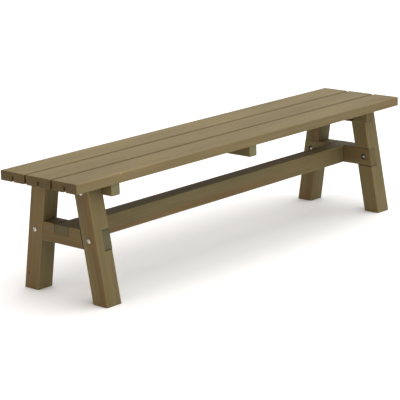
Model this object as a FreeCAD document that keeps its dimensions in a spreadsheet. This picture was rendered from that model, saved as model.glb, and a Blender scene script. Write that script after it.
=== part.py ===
import FreeCAD, Part
import os
import Sketcher

# Backless bench: three long planks on two splayed trestles tied by one stretcher.
# Frame: X runs along the bench, Y across it, Z up; the floor is Z = 0 and the
# origin is the middle of the footprint.  Lengths in millimetres, angles in degrees.

doc = FreeCAD.newDocument("backless_bench")

# ---------------------------------------------------------------- sizes
SIZES = [
    ("seat_length", 1800),
    ("seat_height", 450),
    ("plank_width", 120),
    ("plank_thickness", 36),
    ("plank_gap", 10),
    ("plank_rounding", 4),
    ("groove_width", 12),
    ("groove_depth", 20),
    ("timber_side", 70),
    ("timber_rounding", 4),
    ("leg_inset", 95),
    ("leg_splay", 9.8),
    ("leg_top_offset", 103),
    ("rail_height", 225),
    ("bearer_side", 40),
    ("bearer_setback", 5),
    ("bearer_rounding", 3),
    ("top_bolt_rise", 16),
    ("bolt_diameter", 8),
    ("bolt_clearance", 1),
    ("bolt_head_width", 20),
    ("bolt_head_rise", 5),
    ("crown_angle", 84),
    ("neck_length", 5),
    ("neck_clearance", 0.2),
    ("sink_clearance", 1),
    ("sink_depth", 12),
    ("washer_width", 24),
    ("washer_clearance", 0.4),
    ("washer_thickness", 2),
    ("nut_flats", 13),
    ("nut_height", 6.5),
    ("nut_clearance", 0.2),
    ("screw_diameter", 6),
    ("plank_screw_length", 50),
    ("stretcher_screw_length", 45),
    ("screw_tip", 8),
    ("screw_head_width", 11),
    ("screw_head_rise", 4),
    ("screw_clearance", 0.4),
    ("screw_head_clearance", 2),
    ("screw_sink_depth", 10),
    ("plank_screw_edge", 25),
    ("bolt_screw_spacing", 12),
    ("stretcher_screw_offset", 18),
]

sheet = doc.addObject("Spreadsheet::Sheet", "Sizes")
sheet.set("A1", "name")
sheet.set("B1", "value")
for row, (alias, value) in enumerate(SIZES, start=2):
    sheet.set("A%d" % row, alias)
    sheet.set("B%d" % row, str(value))
    sheet.setAlias("B%d" % row, alias)
doc.recompute()

# Expressions used in several places.
PLANK_UNDERSIDE = "(Sizes.seat_height - Sizes.plank_thickness)"
PLANK_PITCH = "(Sizes.plank_width + Sizes.plank_gap)"
HALF_TIMBER = "(Sizes.timber_side / 2)"
HALF_BEARER = "(Sizes.bearer_side / 2)"
SPLAY = "tan(Sizes.leg_splay * 1 deg)"
LEG_HALF_LEVEL = "(Sizes.timber_side / (2 * cos(Sizes.leg_splay * 1 deg)))"
LEG_RUN = "(%s * %s)" % (PLANK_UNDERSIDE, SPLAY)
FOOT_OFFSET = "(Sizes.leg_top_offset + %s)" % LEG_RUN
TRESTLE_OFFSET = "(Sizes.seat_length / 2 - Sizes.leg_inset - %s)" % HALF_TIMBER
BEARER_OFFSET = "(%s - %s - %s)" % (TRESTLE_OFFSET, HALF_TIMBER, HALF_BEARER)
TOP_BOLT_DROP = "(Sizes.bearer_side - Sizes.top_bolt_rise)"
TOP_BOLT_HEIGHT = "(%s - %s)" % (PLANK_UNDERSIDE, TOP_BOLT_DROP)
TOP_BOLT_REACH = "(Sizes.leg_top_offset + %s * %s)" % (TOP_BOLT_DROP, SPLAY)
LOW_BOLT_REACH = "(%s - Sizes.rail_height * %s)" % (FOOT_OFFSET, SPLAY)

# Holes and sinks follow what goes through them.
BOLT_HOLE = "(Sizes.bolt_diameter + Sizes.bolt_clearance)"
NECK_RECESS = "(Sizes.bolt_diameter + Sizes.neck_clearance)"
BOLT_SINK = "(Sizes.washer_width + Sizes.sink_clearance)"
SCREW_HOLE = "(Sizes.screw_diameter + Sizes.screw_clearance)"
SCREW_SINK = "(Sizes.screw_head_width + Sizes.screw_head_clearance)"

TRESTLES = (("left", -1), ("right", 1))
SIDES = (("front", -1), ("rear", 1))

parts = []


# ---------------------------------------------------------------- helpers
def new_body(name):
    """Empty body whose label names its file."""
    body = doc.addObject("PartDesign::Body", name)
    body.Label = name
    return body


def place(item, x=None, y=None, z=None):
    """Bind the position of an item to the sizes."""
    for axis, text in (("x", x), ("y", y), ("z", z)):
        if text is not None:
            item.setExpression("Placement.Base." + axis, text)


def origin_plane(body, role):
    """One of the body's own origin planes."""
    for feature in body.Origin.OriginFeatures:
        if feature.Role == role:
            return feature
    raise RuntimeError("no plane " + role)


def new_sketch(body, role, offset=None):
    """Sketch on an origin plane, moved along the plane normal when asked."""
    sketch = body.newObject("Sketcher::SketchObject", body.Name + "_sketch")
    sketch.AttachmentSupport = [(origin_plane(body, role), "")]
    sketch.MapMode = "FlatFace"
    if offset is not None:
        sketch.setExpression("AttachmentOffset.Base.z", offset)
    return sketch


def pin(sketch, geometry, point, across, along):
    """Fix one point of the sketch by its two distances from the sketch origin."""
    for kind, text, axis in (("DistanceX", across, -2), ("DistanceY", along, -1)):
        if text == "0":
            sketch.addConstraint(Sketcher.Constraint("PointOnObject", geometry, point, axis))
            continue
        index = sketch.addConstraint(Sketcher.Constraint(kind, -1, 1, geometry, point, 1.0))
        sketch.setExpression("Constraints[%d]" % index, text)


def outline(sketch, corners):
    """Closed outline through corners given as pairs of expressions."""
    count = len(corners)
    first = sketch.GeometryCount
    seeds = [FreeCAD.Vector(10 * (k + 1), 7 * (k + 1) ** 2, 0) for k in range(count)]
    for k in range(count):
        sketch.addGeometry(Part.LineSegment(seeds[k], seeds[(k + 1) % count]), False)
    for k in range(count):
        joint = Sketcher.Constraint("Coincident", first + k, 2, first + (k + 1) % count, 1)
        sketch.addConstraint(joint)
    for k, (across, along) in enumerate(corners):
        pin(sketch, first + k, 1, across, along)


def box_corners(across_low, across_high, along_low, along_high):
    """Corners of an upright rectangle."""
    return [
        (across_low, along_low),
        (across_high, along_low),
        (across_high, along_high),
        (across_low, along_high),
    ]


def circles(sketch, centres, diameter):
    """Equal circles at centres given as pairs of expressions."""
    up = FreeCAD.Vector(0, 0, 1)
    for across, along in centres:
        index = sketch.addGeometry(Part.Circle(FreeCAD.Vector(1, 1, 0), up, 2.0), False)
        size = sketch.addConstraint(Sketcher.Constraint("Diameter", index, 4.0))
        sketch.setExpression("Constraints[%d]" % size, diameter)
        pin(sketch, index, 3, across, along)


def pad(body, sketch, length):
    """Extrude equally to both sides of the sketch."""
    feature = body.newObject("PartDesign::Pad", body.Name + "_pad")
    feature.Profile = sketch
    feature.Midplane = True
    feature.setExpression("Length", length)
    body.Tip = feature
    doc.recompute()
    return feature


def pocket(body, sketch, length=None, forward=False):
    """Cut to a depth, or right through both ways when no depth is given."""
    before = body.Shape.Volume
    feature = body.newObject("PartDesign::Pocket", body.Name + "_pocket")
    feature.Profile = sketch
    if length is None:
        feature.Type = "ThroughAll"
        feature.Midplane = True
    else:
        feature.setExpression("Length", length)
        feature.Reversed = forward
    body.Tip = feature
    doc.recompute()
    if body.Shape.Volume >= before - 1e-6:
        raise RuntimeError("cut removed nothing in " + body.Name)
    return feature


def round_long_edges(body, direction, radius):
    """Round every straight edge that runs along a direction."""
    base = body.Tip
    names = []
    for number, edge in enumerate(base.Shape.Edges, start=1):
        run = edge.lastVertex().Point - edge.firstVertex().Point
        if run.Length > 1e-6 and run.normalize().cross(direction).Length < 1e-6:
            names.append("Edge%d" % number)
    feature = body.newObject("PartDesign::Fillet", body.Name + "_rounding")
    feature.Base = (base, names)
    feature.setExpression("Radius", radius)
    body.Tip = feature
    doc.recompute()
    return feature


def signed(sign, text):
    """Expression with a sign in front."""
    return text if sign > 0 else "-" + text


# ---------------------------------------------------------------- seat planks
PLANK_SCREW_X = ("-" + BEARER_OFFSET, "0", BEARER_OFFSET)
SCREW_BITE = "(Sizes.plank_screw_length + Sizes.screw_sink_depth - Sizes.bearer_side)"


def plank_screws(step):
    """Distances from the bench centre line to the two screws of a plank on each bearer.

    Screws stand in from the plank's edges, but the inner one of an outer plank keeps
    beside the leg bolt that crosses the bearer there.
    """
    edge = "(Sizes.plank_width / 2 - Sizes.plank_screw_edge)"
    if step == 0:
        return ["-" + edge, edge]
    outer = "(%s + %s)" % (PLANK_PITCH, edge)
    inner = "(%s - Sizes.bolt_screw_spacing)" % TOP_BOLT_REACH
    return [signed(step, outer), signed(step, inner)]


for name, step in (("seat_plank_front", -1), ("seat_plank_middle", 0), ("seat_plank_rear", 1)):
    body = new_body(name)
    half = "(Sizes.plank_width / 2)"
    section = new_sketch(body, "YZ_Plane")
    outline(section, box_corners("-" + half, half, "0", "Sizes.plank_thickness"))
    pad(body, section, "Sizes.seat_length")
    round_long_edges(body, FreeCAD.Vector(1, 0, 0), "Sizes.plank_rounding")
    groove = new_sketch(body, "YZ_Plane")
    half = "(Sizes.groove_width / 2)"
    outline(groove, box_corners("-" + half, half, "-1", "Sizes.groove_depth"))
    pocket(body, groove)
    holes = new_sketch(body, "XY_Plane")
    middle = "%d * %s" % (step, PLANK_PITCH)
    spots = [(x, "%s - %s" % (y, middle)) for x in PLANK_SCREW_X for y in plank_screws(step)]
    circles(holes, spots, SCREW_HOLE)
    pocket(body, holes, SCREW_BITE, forward=True)
    place(body, y=middle, z=PLANK_UNDERSIDE)
    parts.append(body)

# ---------------------------------------------------------------- bearers under the planks
BEARER_LENGTH = "(2 * %s + Sizes.plank_width - 2 * Sizes.bearer_setback)" % PLANK_PITCH

for name, step in (("bearer_left", -1), ("bearer_middle", 0), ("bearer_right", 1)):
    body = new_body(name)
    section = new_sketch(body, "XZ_Plane")
    outline(section, box_corners("-" + HALF_BEARER, HALF_BEARER, "-" + HALF_BEARER, HALF_BEARER))
    pad(body, section, BEARER_LENGTH)
    round_long_edges(body, FreeCAD.Vector(0, 1, 0), "Sizes.bearer_rounding")
    spots = [("0", y) for plank in (-1, 0, 1) for y in plank_screws(plank)]
    holes = new_sketch(body, "XY_Plane")
    circles(holes, spots, SCREW_HOLE)
    pocket(body, holes)
    sinks = new_sketch(body, "XY_Plane", "-" + HALF_BEARER)
    circles(sinks, spots, SCREW_SINK)
    pocket(body, sinks, "Sizes.screw_sink_depth", forward=True)
    if step:
        bolt_level = "(Sizes.top_bolt_rise - %s)" % HALF_BEARER
        spots = [(signed(s, TOP_BOLT_REACH), bolt_level) for s in (-1, 1)]
        holes = new_sketch(body, "YZ_Plane")
        circles(holes, spots, BOLT_HOLE)
        pocket(body, holes)
        sinks = new_sketch(body, "YZ_Plane", signed(-step, HALF_BEARER))
        circles(sinks, spots, BOLT_SINK)
        pocket(body, sinks, "Sizes.sink_depth", forward=step > 0)
    place(body, x="%d * %s" % (step, BEARER_OFFSET), z="%s - %s" % (PLANK_UNDERSIDE, HALF_BEARER))
    parts.append(body)

# ---------------------------------------------------------------- legs
for end, outward in TRESTLES:
    for side, across in SIDES:
        body = new_body("leg_%s_%s" % (end, side))
        run = signed(-across, LEG_RUN)
        corners = [
            ("-" + LEG_HALF_LEVEL, "0"),
            (LEG_HALF_LEVEL, "0"),
            ("%s + %s" % (run, LEG_HALF_LEVEL), PLANK_UNDERSIDE),
            ("%s - %s" % (run, LEG_HALF_LEVEL), PLANK_UNDERSIDE),
        ]
        elevation = new_sketch(body, "YZ_Plane")
        outline(elevation, corners)
        pad(body, elevation, "Sizes.timber_side")
        sides = [e.tangentAt(e.FirstParameter) for e in elevation.Shape.Edges]
        round_long_edges(body, max(sides, key=lambda t: abs(t.z)), "Sizes.timber_rounding")
        notch = new_sketch(body, "YZ_Plane")
        low = "(Sizes.rail_height - %s)" % HALF_TIMBER
        high = "(Sizes.rail_height + %s)" % HALF_TIMBER
        reach = "(%s + %s)" % (LEG_RUN, LEG_HALF_LEVEL)
        outline(notch, box_corners("-" + reach, reach, low, high))
        pocket(body, notch, "Sizes.timber_side", forward=outward < 0)
        top_spot = (signed(-across, "(%s - %s)" % (FOOT_OFFSET, TOP_BOLT_REACH)), TOP_BOLT_HEIGHT)
        low_spot = (signed(-across, "(%s - %s)" % (FOOT_OFFSET, LOW_BOLT_REACH)), "Sizes.rail_height")
        holes = new_sketch(body, "YZ_Plane")
        circles(holes, [top_spot, low_spot], BOLT_HOLE)
        pocket(body, holes)
        half = NECK_RECESS + " / 2"
        for spot in (top_spot, low_spot):
            recess = new_sketch(body, "YZ_Plane", signed(outward, HALF_TIMBER))
            edges = ["%s %s %s" % (value, sign, half) for value in spot for sign in "-+"]
            outline(recess, box_corners(*edges))
            pocket(body, recess, "Sizes.neck_length", forward=outward < 0)
        place(body, x=signed(outward, TRESTLE_OFFSET), y=signed(across, FOOT_OFFSET))
        parts.append(body)

# ---------------------------------------------------------------- cross rails
for end, outward in TRESTLES:
    body = new_body("rail_" + end)

    def leg_line(level, edge):
        """Distance from the bench centre line to a leg face at a level of the rail."""
        return "(%s - %s * %s %s %s)" % (LOW_BOLT_REACH, level, SPLAY, edge, LEG_HALF_LEVEL)

    elevation = new_sketch(body, "YZ_Plane")
    corners = [
        ("-" + leg_line("-" + HALF_TIMBER, "+"), "-" + HALF_TIMBER),
        (leg_line("-" + HALF_TIMBER, "+"), "-" + HALF_TIMBER),
        (leg_line(HALF_TIMBER, "+"), HALF_TIMBER),
        ("-" + leg_line(HALF_TIMBER, "+"), HALF_TIMBER),
    ]
    outline(elevation, corners)
    pad(body, elevation, "Sizes.timber_side")
    round_long_edges(body, FreeCAD.Vector(0, 1, 0), "Sizes.timber_rounding")
    over = "Sizes.timber_side"
    for side, across in SIDES:
        corners = [
            (signed(across, leg_line("-" + over, "-")), "-" + over),
            (signed(across, leg_line("-" + over, "+ %s +" % over)), "-" + over),
            (signed(across, leg_line(over, "+ %s +" % over)), over),
            (signed(across, leg_line(over, "-")), over),
        ]
        cheek = new_sketch(body, "YZ_Plane")
        outline(cheek, corners)
        pocket(body, cheek, "Sizes.timber_side", forward=outward > 0)
    housing = new_sketch(body, "YZ_Plane")
    outline(housing, box_corners("-" + HALF_TIMBER, HALF_TIMBER, "0", "Sizes.timber_side"))
    pocket(body, housing)
    spots = [(signed(s, LOW_BOLT_REACH), "0") for s in (-1, 1)]
    holes = new_sketch(body, "YZ_Plane")
    circles(holes, spots, BOLT_HOLE)
    pocket(body, holes)
    sinks = new_sketch(body, "YZ_Plane", signed(-outward, HALF_TIMBER))
    circles(sinks, spots, BOLT_SINK)
    pocket(body, sinks, "Sizes.sink_depth", forward=outward > 0)
    spots = [("0", signed(s, "Sizes.stretcher_screw_offset")) for s in (-1, 1)]
    holes = new_sketch(body, "XY_Plane")
    circles(holes, spots, SCREW_HOLE)
    pocket(body, holes)
    sinks = new_sketch(body, "XY_Plane", "-" + HALF_TIMBER)
    circles(sinks, spots, SCREW_SINK)
    pocket(body, sinks, "Sizes.screw_sink_depth", forward=True)
    place(body, x=signed(outward, TRESTLE_OFFSET), z="Sizes.rail_height")
    parts.append(body)

# ---------------------------------------------------------------- stretcher
body = new_body("stretcher")
section = new_sketch(body, "YZ_Plane")
outline(section, box_corners("-" + HALF_TIMBER, HALF_TIMBER, "-" + HALF_TIMBER, HALF_TIMBER))
pad(body, section, "(2 * %s + Sizes.timber_side)" % TRESTLE_OFFSET)
round_long_edges(body, FreeCAD.Vector(1, 0, 0), "Sizes.timber_rounding")
for end, outward in TRESTLES:
    near = signed(outward, "(%s - %s)" % (TRESTLE_OFFSET, HALF_TIMBER))
    far = signed(outward, "(%s + Sizes.timber_side)" % TRESTLE_OFFSET)
    notch = new_sketch(body, "XZ_Plane")
    outline(notch, box_corners(near, far, "-Sizes.timber_side", "0"))
    pocket(body, notch)
spots = []
for end, outward in TRESTLES:
    for s in (-1, 1):
        spots.append((signed(outward, TRESTLE_OFFSET), signed(s, "Sizes.stretcher_screw_offset")))
holes = new_sketch(body, "XY_Plane")
circles(holes, spots, SCREW_HOLE)
grip = "(Sizes.stretcher_screw_length + Sizes.screw_sink_depth - %s)" % HALF_TIMBER
pocket(body, holes, grip, forward=True)
place(body, z="Sizes.rail_height")
parts.append(body)


# ---------------------------------------------------------------- fasteners
def primitive(body, kind, sizes, level=None):
    """Additive or subtractive primitive on the body's Z axis, started at a level."""
    feature = body.newObject("PartDesign::" + kind, body.Name + "_" + kind)
    feature.AttachmentSupport = [(origin_plane(body, "XY_Plane"), "")]
    feature.MapMode = "FlatFace"
    for key, text in sizes.items():
        feature.setExpression(key, text)
    if level is not None:
        feature.setExpression("AttachmentOffset.Base.z", level)
    body.Tip = feature
    return feature


# A head of a given width and rise is cut from a ball of this radius, with a small flat crown
# where the ball passes the crown angle.
DOME_RADIUS = "((Sizes.bolt_head_width ^ 2 / 4 + Sizes.bolt_head_rise ^ 2) / (2 * Sizes.bolt_head_rise))"


def bolt_pattern(name, length):
    """Domed bolt pointing up: head below Z = 0, square neck and shank above it."""
    body = new_body(name)
    primitive(body, "AdditiveCylinder", {"Radius": "Sizes.bolt_diameter / 2", "Height": length})
    neck = {
        "Length": "Sizes.bolt_diameter",
        "Width": "Sizes.bolt_diameter",
        "Height": "Sizes.neck_length",
    }
    collar = primitive(body, "AdditiveBox", neck)
    for axis in "xy":
        collar.setExpression("AttachmentOffset.Base." + axis, "-Sizes.bolt_diameter / 2")
    primitive(body, "AdditiveSphere", {
        "Radius": DOME_RADIUS,
        "Angle1": "-Sizes.crown_angle",
        "Angle2": "-asin(1 - Sizes.bolt_head_rise / %s)" % DOME_RADIUS,
    }, "%s - Sizes.bolt_head_rise" % DOME_RADIUS)
    return body


def screw_pattern(name, length):
    """Flat-headed wood screw pointing up: head below Z = 0, shank and tip above it."""
    body = new_body(name)
    primitive(body, "AdditiveCylinder", {
        "Radius": "Sizes.screw_diameter / 2",
        "Height": "%s - Sizes.screw_tip" % length,
    })
    primitive(body, "AdditiveCone", {
        "Radius1": "Sizes.screw_diameter / 2",
        "Radius2": "Sizes.screw_diameter / 12",
        "Height": "Sizes.screw_tip",
    }, "%s - Sizes.screw_tip" % length)
    primitive(body, "AdditiveCylinder", {
        "Radius": "Sizes.screw_head_width / 2",
        "Height": "Sizes.screw_head_rise",
    }, "-Sizes.screw_head_rise")
    return body


def copies(name, spots):
    """Group of copies of a fastener, each at its own bound position."""
    links = []
    for number, (source, turn, x, y, z) in enumerate(spots, start=1):
        link = doc.addObject("App::Link", "%s_%d" % (name, number))
        link.LinkedObject = source
        link.Placement = FreeCAD.Placement(FreeCAD.Vector(), turn)
        place(link, x, y, z)
        links.append(link)
    group = doc.addObject("Part::Compound", name)
    group.Label = name
    group.Links = links
    parts.append(group)
    return group


UPRIGHT = FreeCAD.Rotation()
Y_AXIS = FreeCAD.Vector(0, 1, 0)
INTO_LEFT = FreeCAD.Rotation(Y_AXIS, 90)
INTO_RIGHT = FreeCAD.Rotation(Y_AXIS, -90)
TURNS = {-1: INTO_LEFT, 1: INTO_RIGHT}


def bolt_spots(source, reach, height, distance):
    """Positions on both trestles, front and rear, at a distance from the bench centre."""
    spots = []
    for end, outward in TRESTLES:
        for side, across in SIDES:
            x = signed(outward, distance)
            y = signed(across, reach)
            spots.append((source, TURNS[outward], x, y, height))
    return spots


OUTER_FACE = "(%s + %s)" % (TRESTLE_OFFSET, HALF_TIMBER)
LOW_SEAT = "(%s - %s + Sizes.sink_depth)" % (TRESTLE_OFFSET, HALF_TIMBER)
TOP_SEAT = "(%s - %s + Sizes.sink_depth)" % (BEARER_OFFSET, HALF_BEARER)

long_bolt = bolt_pattern("bolt_long", "(Sizes.timber_side + Sizes.bearer_side)")
short_bolt = bolt_pattern("bolt_short", "Sizes.timber_side")

washer = new_body("washer")
primitive(washer, "AdditiveCylinder", {
    "Radius": "Sizes.washer_width / 2",
    "Height": "Sizes.washer_thickness",
})
primitive(washer, "SubtractiveCylinder", {
    "Radius": "(Sizes.bolt_diameter + Sizes.washer_clearance) / 2",
    "Height": "Sizes.washer_thickness",
})

nut = new_body("nut")
hexagon = primitive(nut, "AdditivePrism", {
    "Circumradius": "Sizes.nut_flats / (2 * cos(30 deg))",
    "Height": "Sizes.nut_height",
})
hexagon.Polygon = 6
primitive(nut, "SubtractiveCylinder", {
    "Radius": "(Sizes.bolt_diameter + Sizes.nut_clearance) / 2",
    "Height": "Sizes.nut_height",
})

plank_screw = screw_pattern("screw_plank", "Sizes.plank_screw_length")
stretcher_screw = screw_pattern("screw_stretcher", "Sizes.stretcher_screw_length")
doc.recompute()

copies("carriage_bolts_long", bolt_spots(long_bolt, TOP_BOLT_REACH, TOP_BOLT_HEIGHT, OUTER_FACE))
copies("carriage_bolts_short", bolt_spots(short_bolt, LOW_BOLT_REACH, "Sizes.rail_height", OUTER_FACE))

spots = bolt_spots(washer, TOP_BOLT_REACH, TOP_BOLT_HEIGHT, TOP_SEAT)
spots += bolt_spots(washer, LOW_BOLT_REACH, "Sizes.rail_height", LOW_SEAT)
copies("washers", spots)

ON_WASHER = "(%s - Sizes.washer_thickness)"
spots = bolt_spots(nut, TOP_BOLT_REACH, TOP_BOLT_HEIGHT, ON_WASHER % TOP_SEAT)
spots += bolt_spots(nut, LOW_BOLT_REACH, "Sizes.rail_height", ON_WASHER % LOW_SEAT)
copies("nuts", spots)

level = "%s - Sizes.bearer_side + Sizes.screw_sink_depth" % PLANK_UNDERSIDE
ys = [y for plank in (-1, 0, 1) for y in plank_screws(plank)]
spots = [(plank_screw, UPRIGHT, x, y, level) for x in PLANK_SCREW_X for y in ys]
level = "Sizes.rail_height - %s + Sizes.screw_sink_depth" % HALF_TIMBER
for end, outward in TRESTLES:
    for s in (-1, 1):
        x = signed(outward, TRESTLE_OFFSET)
        y = signed(s, "Sizes.stretcher_screw_offset")
        spots.append((stretcher_screw, UPRIGHT, x, y, level))
copies("wood_screws", spots)

# ---------------------------------------------------------------- checks and export
doc.recompute()
for item in doc.Objects:
    for word in ("Invalid", "Error"):
        if word in item.State:
            raise RuntimeError("%s is %s" % (item.Name, word))
for item in parts:
    if item.Shape.isNull() or not item.Shape.isValid():
        raise RuntimeError("bad shape in " + item.Label)

os.makedirs("parts", exist_ok=True)
for item in parts:
    item.Shape.exportStep("parts/%s.step" % item.Label)
    print(item.Label, len(item.Shape.Solids), "solids", round(item.Shape.Volume))
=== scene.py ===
"""Backless bench: three grooved planks on two splayed trestles tied by a low stretcher."""

import math

import bmesh
import bpy
from mathutils import Matrix, Vector, noise


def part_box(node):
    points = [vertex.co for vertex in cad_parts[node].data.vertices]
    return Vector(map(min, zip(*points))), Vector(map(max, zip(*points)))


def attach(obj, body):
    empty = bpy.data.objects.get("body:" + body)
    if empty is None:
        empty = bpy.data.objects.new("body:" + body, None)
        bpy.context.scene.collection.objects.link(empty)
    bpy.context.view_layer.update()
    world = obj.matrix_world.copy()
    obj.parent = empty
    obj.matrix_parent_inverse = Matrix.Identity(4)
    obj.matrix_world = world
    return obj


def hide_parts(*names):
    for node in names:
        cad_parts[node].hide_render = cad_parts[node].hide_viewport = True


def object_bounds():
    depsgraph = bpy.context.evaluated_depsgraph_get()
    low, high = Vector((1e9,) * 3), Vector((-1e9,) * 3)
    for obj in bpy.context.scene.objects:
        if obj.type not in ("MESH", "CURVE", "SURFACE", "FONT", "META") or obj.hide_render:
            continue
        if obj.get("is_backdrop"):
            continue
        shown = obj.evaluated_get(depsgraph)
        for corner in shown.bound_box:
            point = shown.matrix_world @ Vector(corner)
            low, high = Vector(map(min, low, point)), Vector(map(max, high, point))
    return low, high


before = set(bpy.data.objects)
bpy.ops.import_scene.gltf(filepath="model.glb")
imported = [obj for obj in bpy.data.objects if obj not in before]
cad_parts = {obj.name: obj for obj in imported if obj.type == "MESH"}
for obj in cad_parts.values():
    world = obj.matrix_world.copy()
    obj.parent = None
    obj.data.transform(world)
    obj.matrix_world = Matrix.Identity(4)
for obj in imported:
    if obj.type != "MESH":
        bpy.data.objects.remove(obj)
cad_low, cad_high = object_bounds()

# ---- sizes, in metres where nothing else is said
SPLAY = math.radians(9.8)   # legs lean outwards towards the floor
PLANK_ROUNDING = 0.004
TIMBER_ROUNDING = 0.004
BEARER_ROUNDING = 0.003
GROOVE_WIDTH = 0.012
GROOVE_DEPTH = 0.020
END_EASE = 0.0010           # sanded arris round every sawn end
END_RIM = 0.0016            # worn rim on the end grain inside that arris
FIRST_RING = 0.004          # depth of the first full-size ring behind a sawn end
JOINT_GAP = 0.0007          # open line round each lap and housing
SEAM_REACH = 0.0020         # how far the stain and painted shade reach beside a joint
SEAM_NEAR = 0.0004          # points this close to a joint's plane are on it
SEAM_MARGIN = 0.0015        # a leg's joint line runs this far past the rail
WELD = 1e-6                 # points closer than this are one
STATION = 0.012             # spacing of rings along a board
OUTLINE_STEP = 0.006        # spacing of points round a board
ARC_STEPS = 5               # segments in a rounded edge
UNEVEN = 0.00035            # how far planed faces dip
FLECK_X = -0.69             # pale bruise on the front plank
FLECK_REACH = 0.006
CHIP_LIGHT = 3.2            # how pale the bruise's bare wood is
CHIP_DENT = Vector((0, -0.0006, 0.0008))
FLUSH_START = 0.72          # reddish heartwood near the front plank's right end
FLUSH_FULL = 0.82
FLUSH_WIDTH = 0.07
FLUSH_STRENGTH = 9.0
BOLT_HOLE = 0.0045          # radii and depths of the holes and sinks
NUT_SINK = 0.0125
NUT_SINK_DEPTH = 0.012
SCREW_SINK = 0.0065
SCREW_SINK_DEPTH = 0.010
SCREW_HOLE = 0.0032
CUTTER_PROUD = 0.004        # how far a sink's cutter stands out of the wood
CUTTER_MARGIN = 0.02        # how far a joint's cutter runs past the wood
SHOULDER_REACH = 0.2        # how far a shoulder's cutter runs past the shoulder
BEARER_REACH = 0.03         # half length of a hole's cutter in a bearer
TIMBER_REACH = 0.06         # half length of a hole's cutter in a leg or rail
SINK_SIDES = 56
BOLT_HOLE_SIDES = 32
SCREW_HOLE_SIDES = 24
PLANK_SCREW_EDGE = 0.025    # from a plank's edge to its screw
BOLT_SCREW_SPACING = 0.012  # from a bearer's bolt to the screw beside it
STRETCHER_SCREW_Y = 0.018   # from the middle to a screw under the stretcher
BOLT_RADIUS = 0.004
HEAD_RADIUS = 0.010
HEAD_RISE = 0.005
HEAD_EDGE = 0.0004          # height of the head's rim
SOCKET = 0.0030             # half the flats of the key socket in a bolt head
SOCKET_DEPTH = 0.0028
NECK_ROOT = 0.0056          # the neck leaves the head round
NECK_TIP = 0.0054           # and ends square, with its corners at this radius
NECK_LENGTH = 0.0046
NECK_END = 0.0052           # where the round shank begins
THREAD_LENGTH = 0.022
THREAD_PITCH = 0.00125
THREAD_DEPTH = 0.0007
BOLT_POINT = 0.001          # plain chamfer at the bolt's end
THREAD_MARK = 1e-6          # profile points this far inside a shank become thread
WASHER_RADIUS = 0.012
WASHER_BORE = 0.0042
WASHER_THICKNESS = 0.002
NUT_FLATS = 0.013
NUT_HEIGHT = 0.0065
NUT_FACE = 0.97             # flat round face of a nut, as a share of its flats
SCREW_RADIUS = 0.003
SCREW_CORE = 0.8            # plain shank, as a share of the thread's radius
SCREW_HEAD = 0.0055
SCREW_HEAD_RISE = 0.004
SCREW_PITCH = 0.0028
SCREW_THREAD_DEPTH = 0.0011
SCREW_PLAIN = 0.35          # share of a screw's length without thread
SCREW_TIP = 0.008           # length of a screw's point
PLANK_SCREW_LENGTH = 0.050
STRETCHER_SCREW_LENGTH = 0.045
CROSS_REACH = 0.0036        # half the length of the cross in a screw head
CROSS_WIDTH = 0.0011
CROSS_DEPTH = 0.0022
CROSS_PROUD = 0.002
BOARD_BREAK = 32            # edges sharper than this stay sharp, in degrees
FASTENER_BREAK = 28
FLOOR_REACH = 60.0

X = Vector((1, 0, 0))
Y = Vector((0, 1, 0))
Z = Vector((0, 0, 1))
ENDS = (("left", -1), ("right", 1))
SIDES = (("front", -1), ("rear", 1))


# ---- material helpers
class Tree:
    """Short calls for building one material's nodes."""

    def __init__(self, name):
        self.material = bpy.data.materials.new(name)
        self.material.use_nodes = True
        self.nodes = self.material.node_tree.nodes
        self.links = self.material.node_tree.links
        self.shader = self.nodes["Principled BSDF"]

    def add(self, kind, inputs=None, **settings):
        node = self.nodes.new(kind)
        for key, value in settings.items():
            setattr(node, key, value)
        for key, value in (inputs or {}).items():
            self.feed(node.inputs[key], value)
        return node

    def feed(self, socket, value):
        if isinstance(value, bpy.types.NodeSocket):
            self.links.new(value, socket)
        else:
            socket.default_value = value

    def math(self, operation, a, b=0.0, c=0.0):
        node = self.add("ShaderNodeMath", operation=operation)
        for socket, value in zip(node.inputs, (a, b, c)):
            self.feed(socket, value)
        return node.outputs[0]

    def vector(self, operation, a, b=(0.0, 0.0, 0.0)):
        node = self.add("ShaderNodeVectorMath", operation=operation)
        self.feed(node.inputs[0], a)
        self.feed(node.inputs[1], b)
        return node.outputs["Value" if operation in ("DOT_PRODUCT", "LENGTH") else 0]

    def noise(self, place, stretch, detail=2.0, roughness=0.5):
        """Noise whose cells have their own size along each of the board's directions."""
        scaled = self.vector("MULTIPLY", place, stretch)
        inputs = {"Vector": scaled, "Scale": 1.0, "Detail": detail, "Roughness": roughness}
        return self.add("ShaderNodeTexNoise", inputs)

    def ramp(self, value, stops):
        """Grey ramp through (position, value) stops."""
        node = self.add("ShaderNodeValToRGB", {"Fac": value})
        marks = node.color_ramp.elements
        while len(marks) < len(stops):
            marks.new(0.5)
        for mark, (position, grey) in zip(marks, stops):
            mark.position = position
            mark.color = (grey, grey, grey, 1.0)
        return node.outputs["Color"]

    def range(self, value, low, high, out_low=0.0, out_high=1.0):
        inputs = {"Value": value, "From Min": low, "From Max": high}
        inputs.update({"To Min": out_low, "To Max": out_high})
        node = self.add("ShaderNodeMapRange", inputs, interpolation_type="SMOOTHSTEP")
        return node.outputs["Result"]

    def mix(self, share, a, b):
        node = self.add("ShaderNodeMix", data_type="RGBA")
        self.feed(node.inputs["Factor"], share)
        self.feed(node.inputs["A"], a)
        self.feed(node.inputs["B"], b)
        return node.outputs["Result"]

    def attribute(self, name, output="Vector"):
        return self.add("ShaderNodeAttribute", attribute_name=name).outputs[output]

    def scale(self, vector, factor):
        """A colour or vector times one number, which may come from a socket."""
        scaled = self.vector("SCALE", vector)
        self.feed(scaled.node.inputs["Scale"], factor)
        return scaled


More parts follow.
